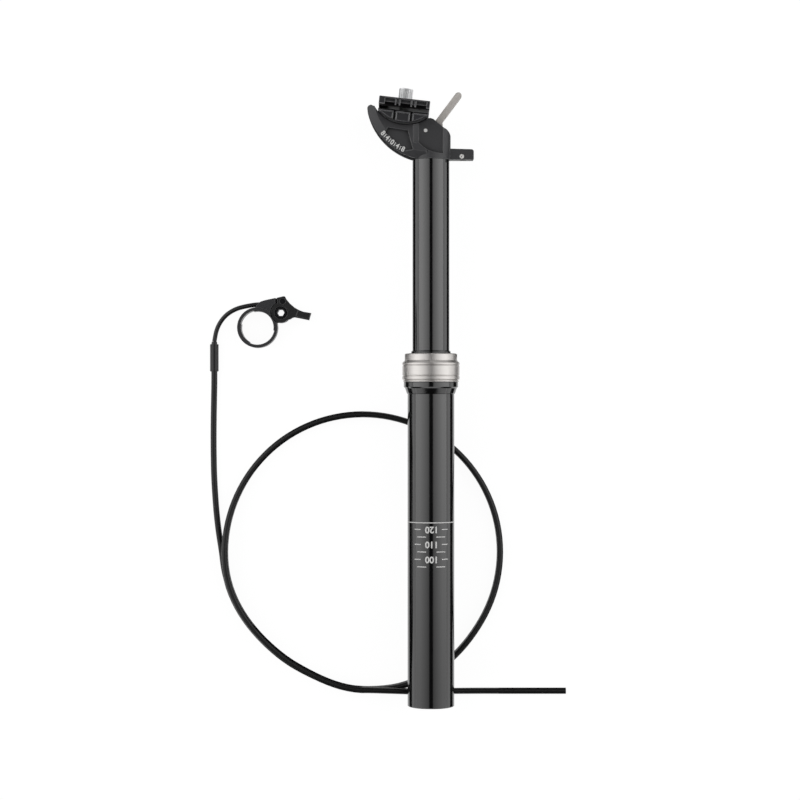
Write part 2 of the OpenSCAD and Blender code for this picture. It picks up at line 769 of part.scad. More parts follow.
module curved_nut() {
    color([0.6, 0.6, 0.6]) in_clamp() difference() {
        translate([0, 0, -cavity_half + 0.6]) linear_extrude(2 * cavity_half - 1.2) polygon(concat(
            arc([0, 0], nut_in, 260, 280, 10), [[5, -nut_in - nut_h], [-5, -nut_in - nut_h]]));
        translate([0, -nut_in + 4, 0]) rotate([90, 0, 0]) cylinder(r = bolt_r + run_gap, h = 20);
    }
}

// Ring round the handlebar, with pads that hold the bar and a relief between them
module bar_ring() {
    difference() {
        cylinder(r = ring_r, h = ring_w, $fn = 96);
        translate([0, 0, -cut]) cylinder(r = bar_r, h = ring_w + 2 * cut, $fn = 96);
        translate([0, 0, -cut]) linear_extrude(ring_w + 2 * cut) polygon(concat(
            [[0, 0]], arc([0, 0], relief_r, 92, 168, 16)));
        translate([0, 0, -cut]) linear_extrude(ring_w + 2 * cut) polygon(concat(
            [[0, 0]], arc([0, 0], relief_r, 242, 350, 20)));
    }
}

module remote_body() {
    hub = [hub_x, hub_y];
    block = concat([[-2.6, 12.4], [0.6, 16.7], [2.2, 17.7], [13.2, 20.2], [14.6, 16.8]],
        arc(hub, hub_r, 100, -100, 16), [[12.4, 3.4], [11.4, 0], [9, -6], [0, 0]]);
    tall = [[-2.6, 12.4], [0.6, 16.7], [2.2, 17.7], [4.5, 18.5], [12.3, 20.2], [12.3, 12],
        [10, 2], [11.4, 0], [8, -7], [0, 0]];
    color([0.13, 0.13, 0.135]) in_remote() difference() {
        union() {
            bar_ring();
            translate([0, 0, leaf_z]) linear_extrude(leaf_h) polygon(block);
            linear_extrude(body_h) polygon(tall);
        }
        translate([0, 0, -cut]) cylinder(r = bar_r, h = ring_w + 2 * cut, $fn = 96);
        translate([0, 0, -cut]) linear_extrude(ring_w + 2 * cut) polygon(concat(
            [[0, 0]], arc([0, 0], relief_r, 242, 350, 20)));
        translate([hub_x, hub_y, leaf_z + leaf_h]) cylinder(r = hub_r + pass_gap, h = body_h);
        translate([hub_x, hub_y, -cut]) cylinder(r = hollow_r + seat_gap, h = body_h);
        translate([noodle_x - ring_x - 0.1, noodle_y - ring_y, noodle_z - floor_z])
            rotate([0, 90, 4]) cylinder(r = 0.9, h = 20, $fn = 24);
        translate([noodle_x - ring_x, noodle_y - ring_y, noodle_z - floor_z])
            rotate([0, -90, 4]) cylinder(r = noodle_d / 2 + 0.2, h = 8, $fn = 24);
    }
}

module paddle() {
    hub = [hub_x, hub_y];
    outline = concat(arc(hub, hub_r, 110, 290, 16),
        [[hub_x + 5.2, hub_y - 4.7], [22.6, 5.7], [23.9, 6.6], [25.3, 7], [29.6, 6.2], [35.3, 5],
        [36.7, 9.9], [31.4, 10.8], [28.7, 11.8], [25.5, 13.6], [22.1, 16.5], [19.8, 19.3],
        [18.8, 21.2], [17.8, 21.4], [13.2, 20.3]]);
    color([0.1, 0.1, 0.105]) in_remote() difference() {
        union() {
            translate([0, 0, hub_z]) linear_extrude(hub_h) polygon(outline);
            translate([0, 0, hub_z - 0.4]) linear_extrude(hub_h + 1.6) polygon([
                [26.2, 7.6], [30.4, 6.7], [35.2, 5.5], [36.3, 9.6], [31.4, 10.6], [27.8, 12]]);
        }
        translate([hub_x, hub_y, 0]) cylinder(r = hollow_r + run_gap, h = 20);
        translate([hub_x, hub_y, hub_z + hub_h - 1]) cylinder(r = bolt_flange_r + 0.6, h = 20);
        translate([hub_x + barrel_at[0], hub_y + barrel_at[1], hub_z + 0.8])
            cylinder(r = barrel_r + seat_gap, h = 20);
    }
}

module pivot_bolt() {
    flange_z = hub_z + hub_h - 1 + seat_gap;
    color([0.2, 0.2, 0.2]) in_remote() translate([hub_x, hub_y, 0]) difference() {
        union() {
            translate([0, 0, leaf_z]) cylinder(r = hollow_r, h = flange_z - leaf_z + 1);
            translate([0, 0, flange_z]) cylinder(r = bolt_flange_r, h = 1.4);
        }
        translate([0, 0, -cut]) cylinder(r = hex_r, h = 20, $fn = 6);
    }
}

module pivot_washer() {
    color([0.5, 0.5, 0.5]) in_remote() translate([hub_x, hub_y, leaf_z + leaf_h]) difference() {
        cylinder(r = 5.6, h = hub_z - leaf_z - leaf_h - run_gap);
        translate([0, 0, -cut]) cylinder(r = hollow_r + seat_gap, h = 4);
    }
}

module cable_barrel() {
    color([0.6, 0.6, 0.6]) in_remote()
        translate([hub_x + barrel_at[0], hub_y + barrel_at[1], hub_z + 0.8])
            cylinder(r = barrel_r, h = hub_h - 0.8);
}

module noodle() {
    color([0.08, 0.08, 0.08])
        swept(noodle_full, noodle_d / 2, cord_sides, unit([-1, -0.07, 0]), [0, -1, 0]);
}

module housing_cup() {
    color([0.07, 0.07, 0.07]) translate([cup_x, cup_y, cup_z]) rotate([-90, 0, 0])
        rotate_extrude() polygon([
            [0, 0], [cup_d / 2 - 0.4, 0], [cup_d / 2, 0.4], [cup_d / 2, cup_len - 0.3],
            [cup_d / 2 - 0.3, cup_len], [noodle_d / 2 + 0.5, cup_len],
            [noodle_d / 2 + 0.3, cup_len + 1.6], [0, cup_len + 1.6]]);
}

module cable_lead() {
    color([0.05, 0.05, 0.05]) swept(lead_full, cord_r, cord_sides, [0, -1, 0], start_dir);
}

module cable_loops() {
    color([0.05, 0.05, 0.05]) swept(loop_route, cord_r, coil_sides, start_dir, end_dir);
}

module cable_tail() {
    color([0.05, 0.05, 0.05]) swept(tail_full, cord_r, cord_sides, end_dir, [1, 0, 0]);
}

outer_tube();
collar();
wiper_seal();
foam_ring();
upper_bushing();
lower_bushing();
guide_keys();
stanchion();
head();
lever_pin();
stop_screw();
actuator_lever();
push_rod();
valve_pin();
valve_body();
cartridge_tube();
inner_tube();
rod_guide();
piston_rod();
piston();
piston_seal();
piston_nut();
bottom_plug();
plug_circlip();
rod_bolt();
bottom_bumper();
lower_cradle();
upper_clamp();
clamp_bolt();
bolt_washer();
curved_nut();
remote_body();
paddle();
pivot_bolt();
pivot_washer();
cable_barrel();
noodle();
housing_cup();
cable_lead();
cable_loops();
cable_tail();
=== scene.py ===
"""A dropper seatpost lying on its side, with its bar remote and its looped cable housing."""
import math

import bmesh
import bpy
from mathutils import Matrix, Vector


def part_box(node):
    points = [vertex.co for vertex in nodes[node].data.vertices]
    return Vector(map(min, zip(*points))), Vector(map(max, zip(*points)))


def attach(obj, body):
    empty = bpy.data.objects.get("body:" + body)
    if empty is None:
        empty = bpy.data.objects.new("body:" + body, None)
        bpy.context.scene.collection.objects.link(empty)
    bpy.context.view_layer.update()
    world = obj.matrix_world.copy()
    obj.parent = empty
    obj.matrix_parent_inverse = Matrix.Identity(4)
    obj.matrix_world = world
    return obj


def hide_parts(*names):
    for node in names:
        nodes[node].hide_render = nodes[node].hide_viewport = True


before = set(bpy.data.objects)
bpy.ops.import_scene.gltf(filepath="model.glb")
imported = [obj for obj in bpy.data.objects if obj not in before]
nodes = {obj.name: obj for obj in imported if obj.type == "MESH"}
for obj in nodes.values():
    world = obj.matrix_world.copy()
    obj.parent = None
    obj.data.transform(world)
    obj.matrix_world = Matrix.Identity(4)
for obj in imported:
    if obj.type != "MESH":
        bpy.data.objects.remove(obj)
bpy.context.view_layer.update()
mm = 0.001
scene = bpy.context.scene
scene.view_settings.view_transform = "Standard"

# Camera
# It looks straight down on the post from 1.41 m, as the photograph does, with +Y up in the picture.
picture_x = -20.9 * mm
picture_y = 206.6 * mm
camera_height = 1411 * mm
camera_data = bpy.data.cameras.new("camera")
camera_data.sensor_width = 36
camera_data.lens = 94
camera = bpy.data.objects.new("camera", camera_data)
camera.location = (picture_x, picture_y, camera_height)
scene.collection.objects.link(camera)
scene.camera = camera


# Cable housing
# A shift housing of 4.2 mm, steel wires in a smooth black sheath. It leaves the cup of the remote, lies
# in two turns under the post and ends in a clean cut, so its length is the photographed one. The table
# that it lies on is level with the rail clamp's lowest point.
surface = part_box("lower_cradle")[0].z
cord_d = 4.2 * mm
cord_r = cord_d / 2
lay = surface + cord_r
turn_gap = 0.45 * mm
pitch = cord_d + turn_gap
loop_centre = Vector((-46.5 * mm, 102.7 * mm, 0))
loop_r = 94.1 * mm
join_out = 1.6 * mm
press_in = 4.1 * mm
bow_out = 1.6 * mm
wind_start = 195
wind_end = 990
wind_step = 3
cup_mouth = Vector((-148.3 * mm, 226.1 * mm, surface + 2.95 * mm))
lead_points = [
    (-148.3, 221, 2.95), (-148.4, 214, 2.65), (-148.6, 206, 2.1), (-148.8, 194, 2.1),
    (-148.9, 181, 2.1), (-148.8, 168, 2.1), (-148.5, 155, 2.1), (-147.8, 142, 2.1),
    (-146.8, 129, 2.1), (-145.3, 116, 2.1), (-143.3, 103, 2.1), (-141.7, 91, 2.1),
]
tail_points = [
    (-35, 8.5, 11.4), (-26, 8.2, 11.2), (-20, 7.9, 10.6), (-14, 7.5, 9.1), (-8, 7.2, 7.5),
    (-2, 7, 6), (6, 7, 4.5), (14, 7, 3.3), (24, 7, 2.5), (36, 7, 2.1), (48, 7, 2.1), (60, 7, 2.1),
    (72, 7, 2.1), (82, 7, 2.1), (92.9, 7, 2.1),
]


def ease(x, a, b):
    """Rises from 0 to 1 between a and b with a level start and end."""
    u = min(max((x - a) / (b - a), 0), 1)
    return (1 - math.cos(math.pi * u)) / 2


def wind(angle):
    """The loops' middle line at an angle in degrees.

    Each turn climbs onto the one before. The first joins the lead from outside, and all of them are
    pressed in at the lower left and bow out a little below.
    """
    seen = angle % 360
    join = join_out * (1 - ease(angle, 235, 290))
    press = press_in * (ease(seen, 185, 232) - ease(seen, 240, 274))
    bow = bow_out * (ease(seen, 268, 288) - ease(seen, 296, 330))
    r = loop_r + join - press + bow
    z = lay + pitch * (ease(angle, 505, 545) + ease(angle, 865, 905))
    a = math.radians(angle)
    return loop_centre + Vector((r * math.cos(a), r * math.sin(a), z))


def from_surface(points):
    """Listed points, in millimetres with their height over the surface, as vectors."""
    return [Vector((x * mm, y * mm, surface + z * mm)) for x, y, z in points]


def smooth_route(points, steps=5):
    """A Catmull-Rom curve through the points."""
    padded = [points[0] * 2 - points[1]] + points + [points[-1] * 2 - points[-2]]
    route = []
    for a, b, c, d in zip(padded, padded[1:], padded[2:], padded[3:]):
        for k in range(steps):
            t = k / steps
            route.append(0.5 * (2 * b + (c - a) * t + (2 * a - 5 * b + 4 * c - d) * t * t
                                + (3 * b - a - 3 * c + d) * t ** 3))
    return route + [points[-1]]


first = wind(wind_start)
last = wind(wind_end)
along_first = Vector((-math.sin(math.radians(wind_start)), math.cos(math.radians(wind_start)), 0))
housing_route = smooth_route([cup_mouth] + from_surface(lead_points) + [first - cord_d * along_first, first])
housing_route += [wind(angle) for angle in range(wind_start + wind_step, wind_end, wind_step)]
housing_route += smooth_route([last, last + Vector((cord_d, 0, 0))] + from_surface(tail_points))


def tube_curve(name, route, radius):
    """A round tube along a route, as a curve with a bevel."""
    curve = bpy.data.curves.new(name, "CURVE")
    curve.dimensions = "3D"
    curve.bevel_depth = radius
    curve.bevel_resolution = 6
    curve.use_fill_caps = True
    spline = curve.splines.new("POLY")
    spline.points.add(len(route) - 1)
    for point, place in zip(spline.points, route):
        point.co = (*place, 1)
    spline.use_smooth = True
    piece = bpy.data.objects.new(name, curve)
    scene.collection.objects.link(piece)
    return piece


def linear(hex_colour):
    """An sRGB hex colour as linear values with alpha 1."""
    values = [int(hex_colour[i:i + 2], 16) / 255 for i in (1, 3, 5)]
    return [v / 12.92 if v <= 0.04045 else ((v + 0.055) / 1.055) ** 2.4 for v in values] + [1]


def add(tree, kind, inputs=None, **settings):
    """Adds a node with its settings, and fills or links its inputs."""
    node = tree.nodes.new(kind)
    for name, value in settings.items():
        setattr(node, name, value)
    for name, value in (inputs or {}).items():
        if isinstance(value, bpy.types.NodeSocket):
            tree.links.new(value, node.inputs[name])
        else:
            node.inputs[name].default_value = value
    return node


def finish_of(name, constants=None):
    """A new material, its tree, and its Principled shader with the constant inputs set."""
    material = bpy.data.materials.new(name)
    material.use_nodes = True
    shader = material.node_tree.nodes["Principled BSDF"]
    for socket, value in (constants or {}).items():
        shader.inputs[socket].default_value = value
    return material, material.node_tree, shader


def grain_on(tree, per_mm, detail=3.0):
    """A noise fixed to the piece, with so many grains to the millimetre."""
    place = add(tree, "ShaderNodeTexCoord")
    grain = add(tree, "ShaderNodeTexNoise", {"Vector": place.outputs["Object"], "Scale": per_mm / mm,
                                             "Detail": detail})
    return grain.outputs["Fac"]


# Extruded PVC is nearly black, with a soft gloss, and shows a faint wave of the wires under it
sheath, tree, shader = finish_of("extruded_pvc_sheath", {"Base Color": linear("#0D0D0E"),
                                                         "Roughness": 0.36, "IOR": 1.45})
grain = grain_on(tree, 0.9)
bump = add(tree, "ShaderNodeBump", {"Height": grain, "Strength": 0.15, "Distance": 0.2 * mm})
tree.links.new(bump.outputs["Normal"], shader.inputs["Normal"])

housing = tube_curve("cable_housing", housing_route, cord_r)
housing.data.materials.append(sheath)
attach(housing, "tube")
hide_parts("cable_lead", "cable_loops", "cable_tail")


# Outer tube and stanchion
# Drawn aluminium tubes, turned, hard anodised black and polished. The turning leaves hair lines round
# them, too fine for the picture, so they are drawn 0.4 mm apart and very shallow. Wiping leaves smears
# along them.
def dress(material, *names):
    """Gives CAD nodes one material."""
    for name in names:
        mesh = nodes[name].data
        mesh.materials.clear()
        mesh.materials.append(material)


def streaks_on(tree, across, along, detail=2.0):
    """A noise fixed to the piece, with other grains to the millimetre across the post than along it."""
    place = add(tree, "ShaderNodeTexCoord")
    stretch = add(tree, "ShaderNodeMapping", {"Vector": place.outputs["Object"],
                                              "Scale": (across / mm, along / mm, across / mm)})
    streaks = add(tree, "ShaderNodeTexNoise", {"Vector": stretch.outputs["Vector"], "Scale": 1.0,
                                               "Detail": detail})
    return streaks.outputs["Fac"]


black_tube, tree, shader = finish_of("polished_black_anodised_aluminium", {"Base Color": linear("#070708"),
                                                                          "IOR": 1.9})
lines = streaks_on(tree, 0.06, 2.5)
smears = streaks_on(tree, 0.26, 0.03, detail=4.0)
rough = add(tree, "ShaderNodeMapRange", {"Value": smears, "To Min": 0.08, "To Max": 0.15})
tree.links.new(rough.outputs["Result"], shader.inputs["Roughness"])
bump = add(tree, "ShaderNodeBump", {"Height": lines, "Strength": 0.06, "Distance": 0.05 * mm})
tree.links.new(bump.outputs["Normal"], shader.inputs["Normal"])
dress(black_tube, "outer_tube", "stanchion")


# Depth marks of the outer tube
# A line round the front half at the least insertion, and below it a plain scale in millimetres from the
# tube's foot. Both are screen printed in white ink, which stands 0.03 mm proud.
ink, tree, shader = finish_of("screen_printed_white_ink", {"Roughness": 0.5})
grain = grain_on(tree, 2.5, detail=2.0)
tone = add(tree, "ShaderNodeMix", {0: grain, 6: linear("#E2E2E0"), 7: linear("#FAFAF8")}, data_type="RGBA")
tree.links.new(tone.outputs[2], shader.inputs["Base Color"])

tube_r = 15.8 * mm
print_r = tube_r + 0.03 * mm
insertion_y = 124.5 * mm
line_half = 24.8 * mm
stroke_half = 0.3 * mm
numeral_size = 6 * mm
numeral_aside = 0.3 * mm
numeral_bold = 1 / 34
mark_ends = (7.4 * mm, 12.2 * mm)
half_mark_ends = (3.4 * mm, 10 * mm)
half_mark_drop = 5 * mm


def flat_bar(target, x0, x1, y0, y1):
    """A flat rectangle between two x and two y."""
    corners = [target.verts.new((x, y, 0)) for x, y in ((x0, y0), (x1, y0), (x1, y1), (x0, y1))]
    target.faces.new(corners)


def finished(mesh, name, material, body):
    """Makes the mesh a piece in its material, riding on a body."""
    mesh.materials.clear()
    mesh.materials.append(material)
    piece = bpy.data.objects.new(name, mesh)
    scene.collection.objects.link(piece)
    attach(piece, body)


def numeral(words, size, x, y, turn):
    """A flat mesh of a number, centred on x and y and turned about z, its strokes thickened."""
    curve = bpy.data.curves.new("numeral", "FONT")
    curve.body = words
    curve.size = size
    curve.offset = size * numeral_bold
    curve.align_x = "CENTER"
    curve.align_y = "CENTER"
    writing = bpy.data.objects.new("numeral", curve)
    scene.collection.objects.link(writing)
    bpy.context.view_layer.update()
    mesh = bpy.data.meshes.new_from_object(writing)
    bpy.data.objects.remove(writing)
    mesh.transform(Matrix.Translation((x, y, 0)) @ Matrix.Rotation(turn, 4, "Z"))
    return mesh


marks = bmesh.new()
flat_bar(marks, -line_half, line_half, insertion_y - stroke_half, insertion_y + stroke_half)
for number in (120, 110, 100):
    row = number * mm
    marks.from_mesh(numeral(str(number), numeral_size, numeral_aside, row, math.pi))
    for side in (-1, 1):
        for ends, middle in ((mark_ends, row), (half_mark_ends, row - half_mark_drop)):
            flat_bar(marks, side * ends[0], side * ends[1], middle - stroke_half, middle + stroke_half)
# Cut every millimetre, the flat marks can be rolled round the tube
for k in range(-24, 25):
    bmesh.ops.bisect_plane(marks, geom=marks.verts[:] + marks.edges[:] + marks.faces[:],
                           plane_co=(k * mm, 0, 0), plane_no=(1, 0, 0))
for vertex in marks.verts:
    turn = vertex.co.x / tube_r
    vertex.co = (print_r * math.sin(turn), vertex.co.y, print_r * math.cos(turn))
bmesh.ops.recalc_face_normals(marks, faces=marks.faces[:])
depth_marks = bpy.data.meshes.new("depth_marks")
marks.to_mesh(depth_marks)
finished(depth_marks, "depth_marks", ink, "tube")


# Collar, and the turned parts inside
# Turned aluminium with a clear satin anodise. The lathe's feed leaves rings round the post, drawn
# 0.25 mm apart, which stretch every highlight along it.
silver, tree, shader = finish_of("turned_aluminium", {"Metallic": 1})
lines = streaks_on(tree, 0.04, 4, detail=3.0)
tone = add(tree, "ShaderNodeMix", {0: lines, 6: linear("#C4C0BD"), 7: linear("#D6D3D0")}, data_type="RGBA")
tree.links.new(tone.outputs[2], shader.inputs["Base Color"])
rough = add(tree, "ShaderNodeMapRange", {"Value": lines, "To Min": 0.3, "To Max": 0.44})
tree.links.new(rough.outputs["Result"], shader.inputs["Roughness"])
round_edge = add(tree, "ShaderNodeBevel", {"Radius": 0.3 * mm}, samples=4)
bump = add(tree, "ShaderNodeBump", {"Height": lines, "Normal": round_edge.outputs["Normal"],
                                    "Strength": 0.2, "Distance": 0.1 * mm})
tree.links.new(bump.outputs["Normal"], shader.inputs["Normal"])
dress(silver, "collar", "valve_body", "inner_tube", "rod_guide", "bottom_plug", "piston")


# Steel parts
# The gas cartridge, its rods and the fasteners out of sight are plain ground steel, with edges broken by
# 0.4 mm. The parts that show are plated.
steel, tree, shader = finish_of("ground_steel", {"Metallic": 1})
grain = grain_on(tree, 1.5)
tone = add(tree, "ShaderNodeMix", {0: grain, 6: linear("#C2C2C2"), 7: linear("#DADADA")}, data_type="RGBA")
tree.links.new(tone.outputs[2], shader.inputs["Base Color"])
rough = add(tree, "ShaderNodeMapRange", {"Value": grain, "To Min": 0.2, "To Max": 0.4})
tree.links.new(rough.outputs["Result"], shader.inputs["Roughness"])
round_edge = add(tree, "ShaderNodeBevel", {"Radius": 0.4 * mm}, samples=4)
tree.links.new(round_edge.outputs["Normal"], shader.inputs["Normal"])
dress(steel, "push_rod", "valve_pin", "cartridge_tube", "piston_rod",
      "piston_nut", "plug_circlip", "rod_bolt", "bolt_washer", "curved_nut")

# The lever's pin and the stop's screw are nickel plated and blasted, so they scatter the light
nickel, tree, shader = finish_of("blasted_nickel_plate", {"Metallic": 1, "Roughness": 0.8})
grain = grain_on(tree, 1.5)
tone = add(tree, "ShaderNodeMix", {0: grain, 6: linear("#F0EFED"), 7: linear("#FAFAF9")}, data_type="RGBA")
tree.links.new(tone.outputs[2], shader.inputs["Base Color"])
dress(nickel, "lever_pin", "stop_screw")

# The clamp bolt is zinc plated, so it is brighter and a little blue. Its grip has rings 1 mm apart,
# square to the bolt, which leans by 6.5 degrees with the clamp.
bolt_lean = 6.5
zinc, tree, shader = finish_of("bright_zinc_plate", {"Metallic": 1, "Roughness": 0.42})
grain = grain_on(tree, 0.7)
tone = add(tree, "ShaderNodeMix", {0: grain, 6: linear("#E6E7E8"), 7: linear("#F6F6F6")}, data_type="RGBA")
tree.links.new(tone.outputs[2], shader.inputs["Base Color"])
place = add(tree, "ShaderNodeTexCoord")
upright = add(tree, "ShaderNodeMapping", {"Vector": place.outputs["Object"],
                                          "Rotation": (0, 0, math.radians(bolt_lean))})
rings = add(tree, "ShaderNodeTexWave", {"Vector": upright.outputs["Vector"], "Scale": 0.314 / mm},
            wave_type="BANDS", bands_direction="Y")
round_edge = add(tree, "ShaderNodeBevel", {"Radius": 0.3 * mm}, samples=4)
bump = add(tree, "ShaderNodeBump", {"Height": rings.outputs["Fac"], "Normal": round_edge.outputs["Normal"],
                                    "Strength": 0.5, "Distance": 0.3 * mm})
tree.links.new(bump.outputs["Normal"], shader.inputs["Normal"])
dress(zinc, "clamp_bolt")

# The cable's barrel is black oxide steel
oxide, tree, shader = finish_of("black_oxide_steel", {"Metallic": 1, "Roughness": 0.45})
grain = grain_on(tree, 1.2)
tone = add(tree, "ShaderNodeMix", {0: grain, 6: linear("#1C1C1D"), 7: linear("#2E2E30")}, data_type="RGBA")
tree.links.new(tone.outputs[2], shader.inputs["Base Color"])
dress(oxide, "cable_barrel")


# Wiper seal, foam ring, piston seal and bumper
# Moulded nitrile rubber, matt and nearly black, with a faint bloom. The foam ring is the same rubber,
# blown.
rubber, tree, shader = finish_of("moulded_nitrile_rubber", {"Roughness": 0.65})
grain = grain_on(tree, 0.8, detail=4.0)
tone = add(tree, "ShaderNodeMix", {0: grain, 6: linear("#121212"), 7: linear("#1E1E1E")}, data_type="RGBA")
tree.links.new(tone.outputs[2], shader.inputs["Base Color"])
bump = add(tree, "ShaderNodeBump", {"Height": grain, "Strength": 0.2, "Distance": 0.2 * mm})
tree.links.new(bump.outputs["Normal"], shader.inputs["Normal"])
dress(rubber, "foam_ring", "piston_seal", "bottom_bumper")

# The wiper is polished by the stanchion and wet with grease
lip, tree, shader = finish_of("greased_nitrile_rubber", {"Base Color": linear("#0A0A0A"), "IOR": 1.7})
grain = grain_on(tree, 0.8, detail=2.0)
rough = add(tree, "ShaderNodeMapRange", {"Value": grain, "To Min": 0.12, "To Max": 0.2})
tree.links.new(rough.outputs["Result"], shader.inputs["Roughness"])
dress(lip, "wiper_seal")


# Bushings and the paddle's washer
# Turned acetal, cream coloured and waxy, with the lathe's lines drawn 0.33 mm apart. They are pressed
# into their seats.
acetal, tree, shader = finish_of("turned_acetal", {"Roughness": 0.4, "IOR": 1.48})
lines = streaks_on(tree, 0.04, 3)
tone = add(tree, "ShaderNodeMix", {0: lines, 6: linear("#CFCAB8"), 7: linear("#DDD9CA")}, data_type="RGBA")
tree.links.new(tone.outputs[2], shader.inputs["Base Color"])
dress(acetal, "upper_bushing", "lower_bushing", "pivot_washer")

# The guide keys are ground brass
brass, tree, shader = finish_of("ground_brass", {"Metallic": 1, "Roughness": 0.32})
grain = grain_on(tree, 1.5)
tone = add(tree, "ShaderNodeMix", {0: grain, 6: linear("#C9A35E"), 7: linear("#D9B874")}, data_type="RGBA")
tree.links.new(tone.outputs[2], shader.inputs["Base Color"])
dress(brass, "guide_keys")


# Head
# A forged and machined aluminium head, bead blasted and then anodised black, which leaves a fine
# matt grain. Its edges are rounded and get a painted highlight, a lighter grey, and its hollows get painted
# shade.
def rubbed_edges(tree, radius, depth=4 * mm):
    """Rounded edges in the shading, a mask that is 1 on them for a painted highlight, and one that is 1 in
    hollows of a depth for painted shade.
    """
    # Painted highlight: the mask is 1 where the bevel bends the normal, on the edges
    rounded = add(tree, "ShaderNodeBevel", {"Radius": radius}, samples=6)
    flat = add(tree, "ShaderNodeNewGeometry")
    bend = add(tree, "ShaderNodeVectorMath", {0: rounded.outputs["Normal"], 1: flat.outputs["Normal"]},
               operation="DOT_PRODUCT")
    edge_highlight = add(tree, "ShaderNodeMapRange", {"Value": bend.outputs["Value"], "From Min": 0.99,
                                              "From Max": 0.8, "To Min": 0.0, "To Max": 1.0})
    # Painted shade: ambient occlusion makes the mask 1 in hollows up to the depth
    open_air = add(tree, "ShaderNodeAmbientOcclusion", {"Distance": depth}, samples=6)
    hollow_shade = add(tree, "ShaderNodeMapRange", {"Value": open_air.outputs["AO"], "From Min": 0.78,
                                              "From Max": 0.42, "To Min": 0.0, "To Max": 1.0})
    return rounded.outputs["Normal"], edge_highlight.outputs["Result"], hollow_shade.outputs["Result"]


blasted, tree, shader = finish_of("bead_blasted_black_forging", {"Roughness": 0.42})
edge, edge_highlight, hollow_shade = rubbed_edges(tree, 0.9 * mm)
grain = grain_on(tree, 1.8, detail=4.0)
tone = add(tree, "ShaderNodeMix", {0: grain, 6: linear("#343436"), 7: linear("#444446")}, data_type="RGBA")
# Painted highlight: a light grey on the edges
tone = add(tree, "ShaderNodeMix", {0: edge_highlight, 6: tone.outputs[2], 7: linear("#7C7C7E")}, data_type="RGBA")
# Painted shade: near black in the hollows
tone = add(tree, "ShaderNodeMix", {0: hollow_shade, 6: tone.outputs[2], 7: linear("#0C0C0C")}, data_type="RGBA")
tree.links.new(tone.outputs[2], shader.inputs["Base Color"])
bump = add(tree, "ShaderNodeBump", {"Height": grain, "Normal": edge, "Strength": 0.25, "Distance": 0.2 * mm})
tree.links.new(bump.outputs["Normal"], shader.inputs["Normal"])
dress(blasted, "head")


# Tilt marks of the head
# A plain scale in degrees along the crescent's rim, printed in the same white ink. It follows the rim's
# slope, 0.05 mm proud of it.
rim_centre = Vector((-0.1 * mm, 411.4 * mm, 0))
scale_r = 41.4 * mm
scale_start = 219
scale_step = 6
tilt_numeral = 4.4 * mm
dash_half_long = 1.2 * mm
dash_half_wide = 0.25 * mm
slope_r = 38.8 * mm
slope_z = 14.05 * mm
rim_slope = 5 / 6


def out_at(angle):
    """The direction out from the rim's centre at an angle in degrees."""
    return Vector((math.cos(math.radians(angle)), math.sin(math.radians(angle)), 0))


marks = bmesh.new()
for k, number in enumerate("84048"):
    angle = scale_start + scale_step * k
    seat = rim_centre + out_at(angle) * scale_r
    marks.from_mesh(numeral(number, tilt_numeral, seat.x, seat.y, math.radians(angle - 270)))
for k in range(4):
    out = out_at(scale_start + scale_step * (k + 0.5))
    aside = Vector((-out.y, out.x, 0)) * dash_half_wide
    inner = rim_centre + out * (scale_r - dash_half_long)
    outer = rim_centre + out * (scale_r + dash_half_long)
    corners = [marks.verts.new(p) for p in (inner - aside, outer - aside, outer + aside, inner + aside)]
    marks.faces.new(corners)
for vertex in marks.verts:
    reach = (vertex.co - rim_centre).xy.length
    vertex.co.z = slope_z - (reach - slope_r) * rim_slope
bmesh.ops.recalc_face_normals(marks, faces=marks.faces[:])
tilt_marks = bpy.data.meshes.new("tilt_marks")
marks.to_mesh(tilt_marks)
finished(tilt_marks, "tilt_marks", ink, "stanchion")


# Actuator lever
# Cast titanium with a satin finish, a warm light grey. It is pinned in the head's slot, and its foot
# presses the push rod. Its hollows get painted shade, a dark brown grey.
titanium, tree, shader = finish_of("satin_cast_titanium", {"Metallic": 1, "Roughness": 0.6})
edge, _, hollow_shade = rubbed_edges(tree, 0.7 * mm)
grain = grain_on(tree, 0.9, detail=4.0)
tone = add(tree, "ShaderNodeMix", {0: grain, 6: linear("#CFCAC5"), 7: linear("#E8E4E0")}, data_type="RGBA")
# Painted shade: a dark brown grey in the hollows
tone = add(tree, "ShaderNodeMix", {0: hollow_shade, 6: tone.outputs[2], 7: linear("#6E6660")}, data_type="RGBA")
tree.links.new(tone.outputs[2], shader.inputs["Base Color"])
bump = add(tree, "ShaderNodeBump", {"Height": grain, "Normal": edge, "Strength": 0.3, "Distance": 0.2 * mm})
tree.links.new(bump.outputs["Normal"], shader.inputs["Normal"])
dress(titanium, "actuator_lever")


# Rail clamp
# Both halves are forged aluminium, tumbled smooth and anodised a glossier black than the head. Their
# edges get a painted highlight, and painted shade fills hollows up to 14 mm deep, so the gaps between them
# go black.
tumbled, tree, shader = finish_of("tumbled_black_forging")
edge, edge_highlight, hollow_shade = rubbed_edges(tree, 0.9 * mm, depth=14 * mm)
grain = grain_on(tree, 0.5, detail=4.0)
# Painted highlight: a light grey on the edges
tone = add(tree, "ShaderNodeMix", {0: edge_highlight, 6: linear("#303033"), 7: linear("#A2A2A4")}, data_type="RGBA")
# Painted shade: near black in the hollows
tone = add(tree, "ShaderNodeMix", {0: hollow_shade, 6: tone.outputs[2], 7: linear("#030303")}, data_type="RGBA")
tree.links.new(tone.outputs[2], shader.inputs["Base Color"])
rough = add(tree, "ShaderNodeMapRange", {"Value": grain, "To Min": 0.24, "To Max": 0.36})
tree.links.new(rough.outputs["Result"], shader.inputs["Roughness"])
bump = add(tree, "ShaderNodeBump", {"Height": grain, "Normal": edge, "Strength": 0.15, "Distance": 0.3 * mm})
tree.links.new(bump.outputs["Normal"], shader.inputs["Normal"])
dress(tumbled, "lower_cradle", "upper_clamp")
